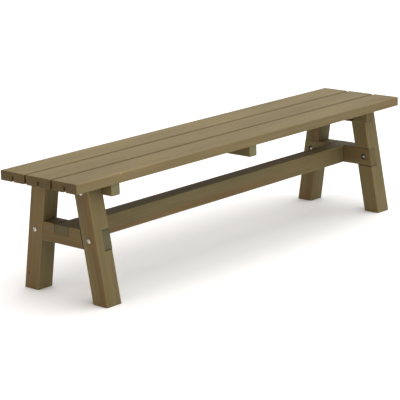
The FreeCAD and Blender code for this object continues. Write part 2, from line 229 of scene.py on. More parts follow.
def colour(red, green, blue):
    return (red, green, blue, 1.0)


KNOT = colour(0.050, 0.030, 0.013)
STAIN_AND_SHADE = colour(0.036, 0.022, 0.008)
BLACK = colour(0, 0, 0)
GRIME_AND_SHADE = colour(0.085, 0.068, 0.042)
GRIME_START = 0.0070        # grime and painted shade grow between these distances from the axis
GRIME_FULL = 0.0096
KNOTS_ALONG = 2.6           # cells that may hold a knot, for each metre of board
KNOTS_ROUND = 0.9           # and for each radian round the pith
KNOT_CHANCE = 0.76          # cells whose random value is above this have a knot
KNOT_SIZE = 0.011           # largest knot's radius


def wood(name, early, late, warm, cut, ring_width, grain_share, warm_share, wear_and_highlight):
    """Stained softwood: growth rings round a pith, knots, fibres, stain patches, pale edges,
    dark seams.
    """
    t = Tree(name)
    place = t.attribute("grain")
    tone = t.attribute("tone", "Fac")
    arris = t.attribute("arris", "Fac")
    seam = t.attribute("seam", "Fac")
    raw = t.attribute("raw", "Fac")
    rust = t.attribute("rust", "Fac")

    # The pith wanders along the board, which draws long arches on the flat faces.
    wander = t.noise(place, (1.6, 7.0, 7.0)).outputs["Color"]
    wander = t.vector("SUBTRACT", wander, (0.5, 0.5, 0.5))
    wander = t.vector("MULTIPLY", wander, (0.0, 0.030, 0.030))
    grown = t.vector("ADD", place, wander)
    radius = t.vector("LENGTH", t.vector("MULTIPLY", grown, (0.0, 1.0, 1.0)))

    # Knots run out from the pith, so they are spots over length and angle.
    split = t.add("ShaderNodeSeparateXYZ", {"Vector": grown})
    angle = t.math("ARCTAN2", split.outputs["Z"], split.outputs["Y"])
    along = t.math("MULTIPLY", split.outputs["X"], KNOTS_ALONG)
    turn = t.math("MULTIPLY", angle, KNOTS_ROUND)
    spot = t.add("ShaderNodeCombineXYZ", {"X": along, "Y": turn})
    inputs = {"Vector": spot.outputs[0], "Scale": 1.0, "Randomness": 0.6}
    cells = t.add("ShaderNodeTexVoronoi", inputs)
    away = t.vector("SUBTRACT", spot.outputs[0], cells.outputs["Position"])
    away = t.add("ShaderNodeSeparateXYZ", {"Vector": away})
    down = t.math("DIVIDE", away.outputs["X"], KNOTS_ALONG)
    side = t.math("MULTIPLY", t.math("DIVIDE", away.outputs["Y"], KNOTS_ROUND), radius)
    apart = t.add("ShaderNodeCombineXYZ", {"X": t.math("MULTIPLY", down, 0.8), "Y": side})
    distance = t.vector("LENGTH", apart.outputs[0])
    chance = t.add("ShaderNodeSeparateXYZ", {"Vector": cells.outputs["Color"]})
    size = t.range(chance.outputs["X"], KNOT_CHANCE, 1.0, 0.0, KNOT_SIZE)
    size = t.math("MINIMUM", size, t.math("MULTIPLY", radius, 0.25))
    from_rim = t.math("SUBTRACT", distance, size)
    knot = t.range(from_rim, -0.0015, 0.0015, 1.0, 0.0)
    knot = t.math("MULTIPLY", knot, t.math("GREATER_THAN", size, 0.002))
    swirl = t.math("SUBTRACT", distance, t.math("MULTIPLY", size, 2.0))
    swirl = t.range(swirl, -0.01, 0.03, 1.0, 0.0)
    swirl = t.math("MULTIPLY", swirl, t.math("MULTIPLY", size, 0.9))

    ripple = t.noise(place, (5.0, 60.0, 60.0)).outputs["Fac"]
    radius = t.math("ADD", radius, swirl)
    radius = t.math("MULTIPLY_ADD", ripple, 0.0016, radius)
    uneven_years = t.noise(t.vector("MULTIPLY", grown, (0.0, 1.0, 1.0)), (1.0, 90.0, 90.0), 1.0)
    radius = t.math("MULTIPLY_ADD", uneven_years.outputs["Fac"], 0.002, radius)
    year = t.math("FRACT", t.math("DIVIDE", radius, ring_width))
    rings = t.ramp(year, [(0.0, 0.05), (0.35, 0.0), (0.72, 0.45), (0.90, 1.0), (1.0, 0.1)])

    fibre = t.noise(place, (14.0, 900.0, 900.0), 3.0, 0.6).outputs["Fac"]
    streak = t.noise(place, (2.2, 150.0, 150.0), 2.0).outputs["Fac"]
    patch = t.noise(place, (2.0, 16.0, 16.0), 3.0, 0.55).outputs["Fac"]
    warmth = t.noise(place, (1.1, 42.0, 42.0), 2.0).outputs["Fac"]

    # Sawn ends drink more stain than the planed faces.
    facing = t.add("ShaderNodeNewGeometry").outputs["Normal"]
    facing = t.math("ABSOLUTE", t.vector("DOT_PRODUCT", facing, t.attribute("axis")))
    ends = t.range(facing, 0.80, 0.93)

    paint = t.mix(t.math("MULTIPLY", rings, grain_share), early, late)
    reddened = t.math("MULTIPLY", t.range(warmth, 0.40, 0.66), rust)
    paint = t.mix(t.math("MULTIPLY", reddened, warm_share), paint, warm)
    heart = t.range(from_rim, -0.0050, -0.0008, 0.55, 0.0)
    heart = t.mix(heart, KNOT, warm)
    paint = t.mix(t.math("MULTIPLY", knot, 0.75), paint, heart)
    sawn = t.mix(t.math("MINIMUM", raw, 1.0), t.mix(0.45, late, early), cut)
    sawn = t.scale(sawn, t.math("MAXIMUM", raw, 1.0))
    sawn = t.mix(t.math("MULTIPLY", rings, 0.45), sawn, t.mix(0.75, sawn, BLACK))
    paint = t.mix(ends, paint, sawn)
    lift = t.math("MULTIPLY_ADD", t.math("SUBTRACT", patch, 0.5), 0.62, 1.0)
    lift = t.math("MULTIPLY_ADD", t.math("SUBTRACT", streak, 0.5), 0.42, lift)
    lift = t.math("MULTIPLY_ADD", t.math("SUBTRACT", fibre, 0.5), 0.30, lift)
    # Rounded edges are paled, partly as wear and partly as painted highlight.
    worn_and_highlit = t.math("MULTIPLY", arris, t.range(patch, 0.30, 0.65, 0.2 * wear_and_highlight, wear_and_highlight))
    lift = t.math("ADD", lift, worn_and_highlit)
    lift = t.math("MULTIPLY", lift, tone)
    # Seams, grooves and joints are mixed towards dark brown, partly as stain and partly as
    # painted shade.
    stained = t.math("MULTIPLY_ADD", t.math("SUBTRACT", fibre, 0.5), 0.3, seam)
    paint = t.mix(t.range(stained, 0.0, 1.0, 0.0, 0.80), t.scale(paint, lift), STAIN_AND_SHADE)
    t.feed(t.shader.inputs["Base Color"], paint)

    rough = t.math("MULTIPLY_ADD", fibre, 0.20, 0.50)
    rough = t.math("MULTIPLY_ADD", rings, -0.08, rough)
    rough = t.math("MULTIPLY_ADD", ends, 0.14, rough)
    t.feed(t.shader.inputs["Roughness"], rough)
    t.shader.inputs["Specular IOR Level"].default_value = 0.14

    height = t.math("MULTIPLY_ADD", rings, 0.35, t.math("MULTIPLY", fibre, 0.65))
    height = t.math("MULTIPLY_ADD", knot, 0.3, height)
    bump = t.add("ShaderNodeBump", {"Height": height, "Strength": 0.55, "Distance": 0.0006})
    t.feed(t.shader.inputs["Normal"], bump.outputs["Normal"])
    return t.material


def zinc(name, bright, bloomed, gloss):
    """Zinc plating with a cloudy bloom, fine grit, and a darker rim away from the piece's axis.
    """
    t = Tree(name)
    place = t.add("ShaderNodeTexCoord").outputs["Object"]
    bloom = t.noise(place, (160.0, 160.0, 160.0), 3.0, 0.6).outputs["Fac"]
    grit = t.noise(place, (2400.0, 2400.0, 2400.0), 2.0).outputs["Fac"]
    bloom = t.range(bloom, 0.40, 0.72)
    paint = t.mix(bloom, bright, bloomed)
    # Parts away from the axis, such as a bolt head's rim, turn dark brown, partly as grime and
    # partly as painted shade.
    across = t.vector("LENGTH", t.vector("MULTIPLY", place, (1.0, 1.0, 0.0)))
    grime_and_shade = t.range(t.math("MULTIPLY_ADD", bloom, 0.0015, across), GRIME_START, GRIME_FULL)
    paint = t.mix(t.math("MULTIPLY", grime_and_shade, 0.85), paint, GRIME_AND_SHADE)
    t.feed(t.shader.inputs["Base Color"], paint)
    t.shader.inputs["Metallic"].default_value = 1.0
    rough = t.math("MULTIPLY_ADD", bloom, 0.22, gloss)
    rough = t.math("MULTIPLY_ADD", grit, 0.08, rough)
    rough = t.math("MULTIPLY_ADD", grime_and_shade, 0.25, rough)
    t.feed(t.shader.inputs["Roughness"], rough)
    bump = t.add("ShaderNodeBump", {"Height": grit, "Strength": 0.25, "Distance": 0.0001})
    t.feed(t.shader.inputs["Normal"], bump.outputs["Normal"])
    return t.material


PLANK_WOOD = wood(
    "stained_plank",
    early=colour(0.150, 0.114, 0.051),
    late=colour(0.101, 0.074, 0.032),
    warm=colour(0.137, 0.092, 0.039),
    cut=colour(0.092, 0.067, 0.027),
    ring_width=0.0036,
    grain_share=0.34,
    warm_share=0.35,
    wear_and_highlight=0.16,
)
FRAME_WOOD = wood(
    "stained_timber",
    early=colour(0.130, 0.103, 0.044),
    late=colour(0.086, 0.060, 0.024),
    warm=colour(0.132, 0.070, 0.025),
    cut=colour(0.093, 0.084, 0.042),
    ring_width=0.0042,
    grain_share=0.48,
    warm_share=0.75,
    wear_and_highlight=0.42,
)
ZINC = zinc("zinc_plate", colour(0.60, 0.59, 0.56), colour(0.40, 0.39, 0.36), 0.20)
# Washers and nuts sit at the bottom of deep sinks; their darker zinc is painted shade.
SHADED_ZINC = zinc("zinc_in_painted_shade", colour(0.30, 0.28, 0.25), colour(0.16, 0.14, 0.11), 0.42)


# ---- board helpers
def section(width, height, rounding, groove_width=0.0, groove_depth=0.0):
    """Outline of a board's section: (across, up, offset across, offset up, arris, face) rows."""
    rows = []
    half_w, half_h = width / 2, height / 2

    def run(start, end, outward, face, first=None):
        count = max(1, round((Vector(end) - Vector(start)).length / OUTLINE_STEP))
        for k in range(count):
            point = Vector(start).lerp(Vector(end), k / count)
            sharp = k == 0 and first is not None
            push = first if sharp else outward
            rows.append((point.x, point.y, *push, float(sharp), face))

    def corner(centre_x, centre_y, start, face):
        for k in range(ARC_STEPS):
            turn = math.radians(start + 90 * k / ARC_STEPS)
            push = (math.cos(turn), math.sin(turn))
            point = (centre_x + rounding * push[0], centre_y + rounding * push[1])
            rows.append((*point, *push, min(k, ARC_STEPS - k, 1), face))

    right, top = half_w - rounding, half_h - rounding
    if groove_depth:
        lip, roof = groove_width / 2, -half_h + groove_depth
        run((-right, -half_h), (-lip, -half_h), (0, -1), "under")
        run((-lip, -half_h), (-lip, roof), (1, 0), "groove", first=(1, -1))
        run((-lip, roof), (lip, roof), (0, -1), "groove", first=(1, -1))
        run((lip, roof), (lip, -half_h), (-1, 0), "groove", first=(-1, -1))
        run((lip, -half_h), (right, -half_h), (0, -1), "under", first=(-1, -1))
    else:
        run((-right, -half_h), (right, -half_h), (0, -1), "under")
    corner(right, -top, -90, "right")
    run((half_w, -top), (half_w, top), (1, 0), "right")
    corner(right, top, 0, "right top")
    run((right, half_h), (-right, half_h), (0, 1), "top")
    corner(-right, top, 90, "left top")
    run((-half_w, top), (-half_w, -top), (-1, 0), "left")
    corner(-right, -top, 180, "left")
    return rows


def dip(along, row, seed):
    """How far a planed face lies below its true plane at a point."""
    across, up = row[0], row[1]
    slow = noise.noise(Vector((along * 3.0 + seed * 7.3, across * 22, up * 22)))
    ridges = noise.noise(Vector((along * 9.0 - seed * 3.1, across * 170, up * 170)))
    return UNEVEN * (0.5 + 0.36 * slow + 0.14 * ridges)


def held(value, reach):
    """The value, kept between -reach and reach."""
    return max(-reach, min(reach, value))


def loft(name, rows, length, place, seed, stain_and_shade_by_face=None, stain_and_shade_at_ends=0.0, rusty=None):
    """Board built from rings of its section, with eased ends and slightly uneven faces.

    Each face may be darkened by its name, and the rim of each sawn end too, partly as stain and
    partly as painted shade. rusty gives each face's reddish streaks, partly heartwood and partly
    painted warm shade where the legs' and rails' faces towards the bench's ends are redder.
    """
    rim = END_EASE + END_RIM
    reach_w = max(row[0] for row in rows) - rim - SEAM_REACH
    reach_h = max(row[1] for row in rows) - rim - SEAM_REACH
    eased = [(0.0, rim), (0.0, rim), (0.0, END_EASE)]
    eased += [(0.29 * END_EASE, 0.29 * END_EASE), (END_EASE, 0.0), (FIRST_RING, 0.0)]
    plain = length - 2 * FIRST_RING
    count = max(2, round(plain / STATION))
    middle = [(FIRST_RING + plain * k / count, 0.0) for k in range(1, count)]
    stops = eased + middle + [(length - u, inset) for u, inset in reversed(eased)]
    last = len(stops) - 1
    mesh = bmesh.new()
    arris = mesh.verts.layers.float.new("arris")
    seam = mesh.verts.layers.float.new("seam")
    rust = mesh.verts.layers.float.new("rust")
    rings = []
    for number, (along, inset) in enumerate(stops):
        depth = min(number, last - number)
        ring = []
        for row in rows:
            back = inset + dip(along, row, seed)
            spot = (row[0] - row[2] * back, row[1] - row[3] * back)
            if depth == 0:
                spot = (held(spot[0], reach_w), held(spot[1], reach_h))
            vert = mesh.verts.new(place(along, *spot))
            vert[arris] = (0.0, 0.0, 1.0, 1.0)[depth] if depth < 4 else row[4]
            vert[seam] = (stain_and_shade_by_face or {}).get(row[5], 0.0)
            vert[rust] = (rusty or {}).get(row[5], 0.4) * (1.0 - 0.9 * row[4])
            # Rings beside a sawn end darken its rim, partly as stain and partly as painted
            # shade.
            if depth < 4:
                vert[seam] = (0.0, 0.6, 1.0, 1.0)[depth] * stain_and_shade_at_ends
            if vert[seam] > 0:
                vert[arris] = 0.0
            ring.append(vert)
        rings.append(ring)
    size = len(rows)
    for low, high in zip(rings, rings[1:]):
        for k in range(size):
            mesh.faces.new((low[k], low[(k + 1) % size], high[(k + 1) % size], high[k]))
    mesh.faces.new(list(reversed(rings[0])))
    mesh.faces.new(rings[-1])
    bmesh.ops.remove_doubles(mesh, verts=mesh.verts, dist=WELD)
    bmesh.ops.dissolve_degenerate(mesh, dist=WELD, edges=mesh.edges)
    bmesh.ops.recalc_face_normals(mesh, faces=mesh.faces)
    return to_object(name, mesh)


def add_object(name, data):
    """New object in the scene that shows the data."""
    added = bpy.data.objects.new(name, data)
    bpy.context.scene.collection.objects.link(added)
    return added


def to_object(name, mesh):
    data = bpy.data.meshes.new(name)
    mesh.to_mesh(data)
    mesh.free()
    return add_object(name, data)


def edited(piece):
    """Copy of a piece's mesh to edit, which keep() puts back."""
    mesh = bmesh.new()
    mesh.from_mesh(piece.data)
    return mesh


def keep(piece, mesh):
    """Puts an edited mesh back into its piece."""
    mesh.to_mesh(piece.data)
    mesh.free()


def score(mesh, point, normal):
    """Cuts new edges into the mesh where a plane crosses it."""
    everything = mesh.verts[:] + mesh.edges[:] + mesh.faces[:]
    bmesh.ops.bisect_plane(mesh, geom=everything, dist=WELD, plane_co=point, plane_no=normal)


def drill(mesh, centre, axis, radius, depth_low, depth_high, sides=40):
    """Round cutter added to a mesh, between two depths along an axis from a centre."""
    turn = axis.to_track_quat("Z", "Y").to_matrix().to_4x4()
    middle = centre + axis * (depth_low + depth_high) / 2
    bmesh.ops.create_cone(
        mesh,
        cap_ends=True,
        segments=sides,
        radius1=radius,
        radius2=radius,
        depth=depth_high - depth_low,
        matrix=Matrix.Translation(middle) @ turn,
    )


def bolt_hole(mesh, middle, reach):
    drill(mesh, middle, X, BOLT_HOLE, -reach, reach, BOLT_HOLE_SIDES)


def screw_hole(mesh, middle, reach):
    drill(mesh, middle, Z, SCREW_HOLE, -reach, reach, SCREW_HOLE_SIDES)


def nut_sink(mesh, mouth, inward):
    drill(mesh, mouth, inward, NUT_SINK, -CUTTER_PROUD, NUT_SINK_DEPTH, SINK_SIDES)


def prism(mesh, low_face, high_face):
    """Cutter with two matching four-cornered faces."""
    low = [mesh.verts.new(p) for p in low_face]
    high = [mesh.verts.new(p) for p in high_face]
    mesh.faces.new(low)
    mesh.faces.new(list(reversed(high)))
    for k in range(4):
        mesh.faces.new((low[k], high[k], high[(k + 1) % 4], low[(k + 1) % 4]))


def block(mesh, low, high):
    """Rectangular cutter between two corners."""
    corners = [(low[1], low[2]), (high[1], low[2]), (high[1], high[2]), (low[1], high[2])]
    prism(
        mesh,
        [Vector((low[0], y, z)) for y, z in corners],
        [Vector((high[0], y, z)) for y, z in corners],
    )


def cut(piece, *makers):
    """Takes each maker's cutters away from the piece, one boolean after another."""
    tools = []
    for make in makers:
        mesh = bmesh.new()
        make(mesh)
        bmesh.ops.recalc_face_normals(mesh, faces=mesh.faces)
        tool = to_object("cutter", mesh)
        change = piece.modifiers.new("cut", "BOOLEAN")
        change.operation = "DIFFERENCE"
        change.solver = "EXACT"
        change.object = tool
        tools.append(tool)
    graph = bpy.context.evaluated_depsgraph_get()
    data = bpy.data.meshes.new_from_object(piece.evaluated_get(graph))
    piece.modifiers.clear()
    old = piece.data
    piece.data = data
    bpy.data.meshes.remove(old)
    for tool in tools:
        data = tool.data
        bpy.data.objects.remove(tool)
        bpy.data.meshes.remove(data)


def gather(piece, *lines):
    """Stain and painted shade beside joints: each line is a plane (point, normal) and a test of
    place.
    """
    mesh = edited(piece)
    seam = mesh.verts.layers.float["seam"]
    for point, normal, _ in lines:
        score(mesh, point + normal * SEAM_REACH, normal)
    for point, normal, test in lines:
        for vert in mesh.verts:
            if abs((vert.co - point).dot(normal)) < SEAM_NEAR and test(vert.co):
                vert[seam] = 1.0
    keep(piece, mesh)


def soften(piece, limit=BOARD_BREAK):
    """Smooth shading that breaks at edges sharper than the limit, in degrees."""
    mesh = edited(piece)
    for face in mesh.faces:
        face.smooth = True
    for edge in mesh.edges:
        if len(edge.link_faces) == 2:
            edge.smooth = edge.calc_face_angle(0.0) < math.radians(limit)
    keep(piece, mesh)


def dress(piece, material, node):
    """Material, slot and body of a finished piece, which stands for a CAD node."""
    piece.data.materials.clear()
    piece.data.materials.append(material)
    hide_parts(node)
    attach(piece, "root")


def grow(piece, centre, axis, across, pith, seed, tone, raw=1.0):
    """Gives every point its place in the tree the board came from."""
    third = axis.cross(across)
    data = piece.data
    count = len(data.vertices)
    spots = []
    for vert in data.vertices:
        away = vert.co - centre
        along = away.dot(axis) + 3.7 * seed
        spots += (along, away.dot(across) - pith[0], away.dot(third) - pith[1])
    for name, kind, field, values in (
        ("grain", "FLOAT_VECTOR", "vector", spots),
        ("axis", "FLOAT_VECTOR", "vector", list(axis) * count),
        ("tone", "FLOAT", "value", [tone] * count),
        ("raw", "FLOAT", "value", [raw] * count),
    ):
        data.attributes.new(name, kind, "POINT")
        data.attributes[name].data.foreach_set(field, values)


def chip(piece, spot):
    """Small bruise in an arris that shows pale wood."""
    mesh = edited(piece)
    arris = mesh.verts.layers.float["arris"]
    for step in (-1.0, -0.4, 0.4, 1.0):
        score(mesh, spot + X * FLECK_REACH * step, X)
    for vert in mesh.verts:
        away = vert.co - spot
        if away.length < FLECK_REACH * 1.1:
            share = 1.0 if abs(away.x) < FLECK_REACH * 0.5 else 0.0
            vert[arris] = CHIP_LIGHT * share
            vert.co -= CHIP_DENT * share
    keep(piece, mesh)


def flush(piece, start, full, front_y):
    """Reddish heartwood that shows along a plank's front edge towards its right end."""
    mesh = edited(piece)
    rust = mesh.verts.layers.float["rust"]
    for vert in mesh.verts:
        along = min(1.0, max(0.0, (vert.co.x - start) / (full - start)))
        across = min(1.0, max(0.0, 1.0 - (vert.co.y - front_y) / FLUSH_WIDTH))
        vert[rust] += FLUSH_STRENGTH * along * across
    keep(piece, mesh)


# ---- seat planks
# Each plank's node, the pith's place in its section, its seed and its tone.
PLANKS = {
    "front": ("seat_plank_front", (0.016, -0.062), 1, 1.00),
    "middle": ("seat_plank_middle", (-0.024, -0.078), 2, 0.97),
    "rear": ("seat_plank_rear", (0.010, 0.070), 3, 1.02),
}
for key, (node, pith, seed, tone) in PLANKS.items():
    low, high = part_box(node)
    middle = (low + high) / 2
    size = high - low
    rows = section(size.y, size.z, PLANK_ROUNDING, GROOVE_WIDTH, GROOVE_DEPTH)

    def place(along, across, up, low=low, middle=middle):
        return Vector((low.x + along, middle.y + across, middle.z + up))

    # The plank sides in the gaps between planks, and the groove under each, are darkened partly
    # as stain and partly as painted shade.
    stain_and_shade_by_face = {"groove": 0.5}
    if key != "front":
        stain_and_shade_by_face.update({"left": 0.95, "left top": 0.12})
    if key != "rear":
        stain_and_shade_by_face.update({"right": 0.95, "right top": 0.12})
    plank = loft("plank_" + key, rows, size.x, place, seed, stain_and_shade_by_face)
    if key == "front":
        chip(plank, Vector((FLECK_X, low.y + 0.001, high.z - 0.001)))
        flush(plank, FLUSH_START, FLUSH_FULL, low.y)
    grow(plank, middle, X, Y, pith, seed, tone)
    soften(plank)
    dress(plank, PLANK_WOOD, node)

# ---- fastener places
bolt_low, bolt_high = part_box("carriage_bolts_long")
TOP_Y = bolt_high.y - HEAD_RADIUS
TOP_Z = (bolt_low.z + bolt_high.z) / 2
bolt_low, bolt_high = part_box("carriage_bolts_short")
LOW_Y = bolt_high.y - HEAD_RADIUS
LOW_Z = (bolt_low.z + bolt_high.z) / 2
middle_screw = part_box("seat_plank_middle")[1].y - PLANK_SCREW_EDGE
outer_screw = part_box("seat_plank_rear")[1].y - PLANK_SCREW_EDGE
SCREW_Y = (middle_screw, TOP_Y - BOLT_SCREW_SPACING, outer_screw)

# ---- bearers under the planks
# Each bearer's node, its end (0 is the middle), pith, seed, tone, and how far its sawn ends
# take the greenish cut colour. Above 1 they are paler too.
BEARERS = {
    "left": ("bearer_left", -1, (0.009, -0.052), 4, 1.04, 1.55),
    "middle": ("bearer_middle", 0, (-0.014, 0.046), 5, 1.05, 1.6),
    "right": ("bearer_right", 1, (0.022, -0.040), 6, 0.95, 0.0),
}
for key, (node, step, pith, seed, tone, raw) in BEARERS.items():
    low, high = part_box(node)
    middle = (low + high) / 2
    size = high - low
    rows = section(size.x, size.z, BEARER_ROUNDING)

    def place(along, across, up, low=low, middle=middle):
        return Vector((middle.x - across, low.y + along, middle.z + up))

    bearer = loft("bearer_" + key + "_timber", rows, size.y, place, seed)

    def sinks(mesh):
        for y in SCREW_Y:
            for side in (-1, 1):
                spot = Vector((middle.x, side * y, low.z))
                drill(mesh, spot, Z, SCREW_SINK, -CUTTER_PROUD, SCREW_SINK_DEPTH)
        for side in (-1, 1):
            if step:
                spot = Vector((middle.x - step * size.x / 2, side * TOP_Y, TOP_Z))
                nut_sink(mesh, spot, X * step)

    def holes(mesh):
        for y in SCREW_Y:
            for side in (-1, 1):
                screw_hole(mesh, Vector((middle.x, side * y, middle.z)), BEARER_REACH)

    def bolt_holes(mesh):
        for side in (-1, 1):
            bolt_hole(mesh, Vector((middle.x, side * TOP_Y, TOP_Z)), BEARER_REACH)

    cut(bearer, *((sinks, holes, bolt_holes) if step else (sinks, holes)))
    grow(bearer, middle, Y, X, pith, seed, tone, raw)
    soften(bearer)
    dress(bearer, FRAME_WOOD, node)

# ---- trestle legs
# Each leg's pith, seed, tone, and how strong the reddish streaks on its end faces are.
LEGS = {
    ("left", "front"): ((0.020, -0.026), 7, 0.97, 1.0),
    ("left", "rear"): ((-0.046, 0.012), 8, 0.97, 1.0),
    ("right", "front"): ((0.012, 0.048), 9, 1.04, 0.35),
    ("right", "rear"): ((-0.018, -0.020), 10, 0.97, 0.8),
}
rail_low, rail_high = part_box("rail_left")
for (end, side), (pith, seed, tone, redness) in LEGS.items():
    outward = dict(ENDS)[end]
    across_sign = dict(SIDES)[side]
    node = "leg_%s_%s" % (end, side)
    low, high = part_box(node)
    timber = high.x - low.x
    level = timber / math.cos(SPLAY)
    centre_x = (low.x + high.x) / 2
    height = high.z - low.z
    foot_y = (low.y + level / 2) if across_sign < 0 else (high.y - level / 2)
    slope = -across_sign * math.tan(SPLAY)
    rows = section(timber, timber, TIMBER_ROUNDING)

    def place(along, across, up, centre_x=centre_x, foot_y=foot_y, slope=slope, low=low):
        y = foot_y + slope * along + up / math.cos(SPLAY)
        return Vector((centre_x + across, y, low.z + along))

    # The faces towards the bench's ends get stronger reddish streaks, partly heartwood and
    # partly painted warm shade.
    reddened = {"left": redness, "right": redness, "top": 0.15, "under": 0.15}
    leg = loft("leg_%s_%s_timber" % (end, side), rows, height, place, seed, rusty=reddened)

    def notch(mesh):
        """The lap for the rail, cut through the half of the leg that faces inwards."""
        x0, x1 = sorted((centre_x, centre_x - outward * timber))
        y0, y1 = foot_y - timber * 3, foot_y + timber * 3
        block(mesh, (x0, y0, rail_low.z - JOINT_GAP), (x1, y1, rail_high.z + JOINT_GAP))

    def bores(mesh):
        for y, z in ((TOP_Y, TOP_Z), (LOW_Y, LOW_Z)):
            bolt_hole(mesh, Vector((centre_x, across_sign * y, z)), TIMBER_REACH)

    cut(leg, notch, bores)

    def beside_rail(place):
        inside = (place.x - centre_x) * -outward > -SEAM_NEAR
        return inside and rail_low.z - SEAM_MARGIN < place.z < rail_high.z + SEAM_MARGIN

    lines = [
        (Vector((0, 0, rail_low.z - JOINT_GAP)), -Z, beside_rail),
        (Vector((0, 0, rail_high.z + JOINT_GAP)), Z, beside_rail),
    ]
    if end == "left":
        lines.append((Vector((centre_x, 0, 0)), X * outward, beside_rail))
    gather(leg, *lines)
    lean = Vector((0, slope, 1)).normalized()
    middle = Vector((centre_x, foot_y + slope * height / 2, height / 2))
    grow(leg, middle, lean, X, pith, seed, tone)
    soften(leg)
    dress(leg, FRAME_WOOD, node)

# ---- cross rails
# Each rail's pith, seed, tone, and how far its sawn ends take the cut colour.
RAILS = {"left": ((0.012, -0.030), 11, 0.90, 1.0), "right": ((-0.020, 0.026), 12, 1.04, 0.0)}
for end, (pith, seed, tone, raw) in RAILS.items():
    outward = dict(ENDS)[end]
    node = "rail_" + end
    low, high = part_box(node)
    timber = high.x - low.x
    middle = (low + high) / 2
    slope = math.tan(SPLAY)
    lean_half = (high.y - low.y) / 2 - slope * timber / 2
    shoulder = lean_half - timber / math.cos(SPLAY)
    rows = section(timber, timber, TIMBER_ROUNDING)
    length = 2 * lean_half

    def place(along, across, up, middle=middle, length=length, lean_half=lean_half, slope=slope):
        reach = lean_half - slope * up - JOINT_GAP
        return Vector((middle.x - across, (2 * along / length - 1) * reach, middle.z + up))

    # The faces towards the bench's ends get stronger reddish streaks, partly heartwood and
    # partly painted warm shade.
    reddened = {"left": 0.9, "right": 0.9}
    name = "rail_%s_timber" % end
    rail = loft(name, rows, length, place, seed, stain_and_shade_at_ends=0.7 * raw, rusty=reddened)
    half = timber / 2 + JOINT_GAP

    def cheeks(mesh):
        """The outer half is cut back to slanted shoulders that meet the legs."""
        x0, x1 = sorted((middle.x, middle.x + outward * timber))
        far = shoulder + SHOULDER_REACH
        below, above = -timber, timber
        for sign in (-1, 1):
            outline = []
            for reach, up in ((shoulder, below), (far, below), (far, above), (shoulder, above)):
                y = sign * (reach - slope * up - JOINT_GAP)
                outline.append((y, middle.z + up))
            prism(mesh, [Vector((x0, *p)) for p in outline], [Vector((x1, *p)) for p in outline])

    def housing(mesh):
        x0, x1 = low.x - CUTTER_MARGIN, high.x + CUTTER_MARGIN
        block(mesh, (x0, -half, middle.z), (x1, half, high.z + CUTTER_MARGIN))

    def sinks(mesh):
        for sign in (-1, 1):
            spot = Vector((middle.x - outward * timber / 2, sign * LOW_Y, LOW_Z))
            nut_sink(mesh, spot, X * outward)
            spot = Vector((middle.x, sign * STRETCHER_SCREW_Y, low.z))
            drill(mesh, spot, Z, SCREW_SINK, -CUTTER_PROUD, SCREW_SINK_DEPTH)

    def holes(mesh):
        for sign in (-1, 1):
            bolt_hole(mesh, Vector((middle.x, sign * LOW_Y, LOW_Z)), TIMBER_REACH)
            spot = Vector((middle.x, sign * STRETCHER_SCREW_Y, middle.z))
            screw_hole(mesh, spot, TIMBER_REACH)

    cut(rail, cheeks, housing, sinks, holes)
    lines = [(Vector((0, 0, middle.z)), -Z, lambda place: abs(place.y) < half + SEAM_NEAR)]
    for sign in (-1, 1):
        edge = Vector((0, sign * half, 0))
        lines.append((edge, Y * sign, lambda place: place.z > middle.z - SEAM_NEAR))
        lean = Vector((0, -sign, -slope)).normalized()
        edge = Vector((0, sign * (shoulder - JOINT_GAP), middle.z))
        lines.append((edge, lean, lambda place: (place.x - middle.x) * outward > -SEAM_NEAR))
    gather(rail, *lines)
    grow(rail, middle, Y, X, pith, seed, tone, raw)
    soften(rail)
    dress(rail, FRAME_WOOD, node)

# ---- stretcher
low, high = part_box("stretcher")
middle = (low + high) / 2
size = high - low
rows = section(size.y, size.z, TIMBER_ROUNDING)


def stretcher_place(along, across, up):
    return Vector((low.x + along, middle.y + across, middle.z + up))


STRETCHER_SEED = 16
stretcher = loft(
    "stretcher_timber",
    rows,
    size.x,
    stretcher_place,
    STRETCHER_SEED,
    stain_and_shade_at_ends=0.4,
    rusty={"left": 0.8, "right": 0.8},
)


def end_notches(mesh):
    for end, outward in ENDS:
        inner = abs(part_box("rail_" + end)[0 if outward > 0 else 1].x) - JOINT_GAP
        x0, x1 = sorted((outward * inner, outward * (high.x + CUTTER_MARGIN)))
        y0, y1 = low.y - CUTTER_MARGIN, high.y + CUTTER_MARGIN
        block(mesh, (x0, y0, low.z - CUTTER_MARGIN), (x1, y1, middle.z))


cut(stretcher, end_notches)
grow(stretcher, middle, X, Y, (0.024, -0.030), STRETCHER_SEED, tone=1.02, raw=0.75)
soften(stretcher)
dress(stretcher, FRAME_WOOD, "stretcher")


# ---- fastener shapes
def turned(profile, sides, radius_at):
    """Solid about +Z through (radius, height) points, closed on the axis.

    radius_at gives the radius at an angle, so that a ring of points may be square or threaded.
    """
    mesh = bmesh.new()
    rings = []
    for radius, height in profile:
        if radius == 0:
            rings.append([mesh.verts.new((0, 0, height))])
            continue
        ring = []
        for k in range(sides):
            turn = 2 * math.pi * k / sides
            r = radius_at(turn, radius, height)
            ring.append(mesh.verts.new((r * math.cos(turn), r * math.sin(turn), height)))
        rings.append(ring)
    for low_ring, high_ring in zip(rings, rings[1:]):
        for k in range(sides):
            after = (k + 1) % sides
            quad = []
            for vert in (
                low_ring[k % len(low_ring)],
                low_ring[after % len(low_ring)],
                high_ring[after % len(high_ring)],
                high_ring[k % len(high_ring)],
            ):
                if vert not in quad:
                    quad.append(vert)
            mesh.faces.new(quad)
    bmesh.ops.recalc_face_normals(mesh, faces=mesh.faces)
    return mesh


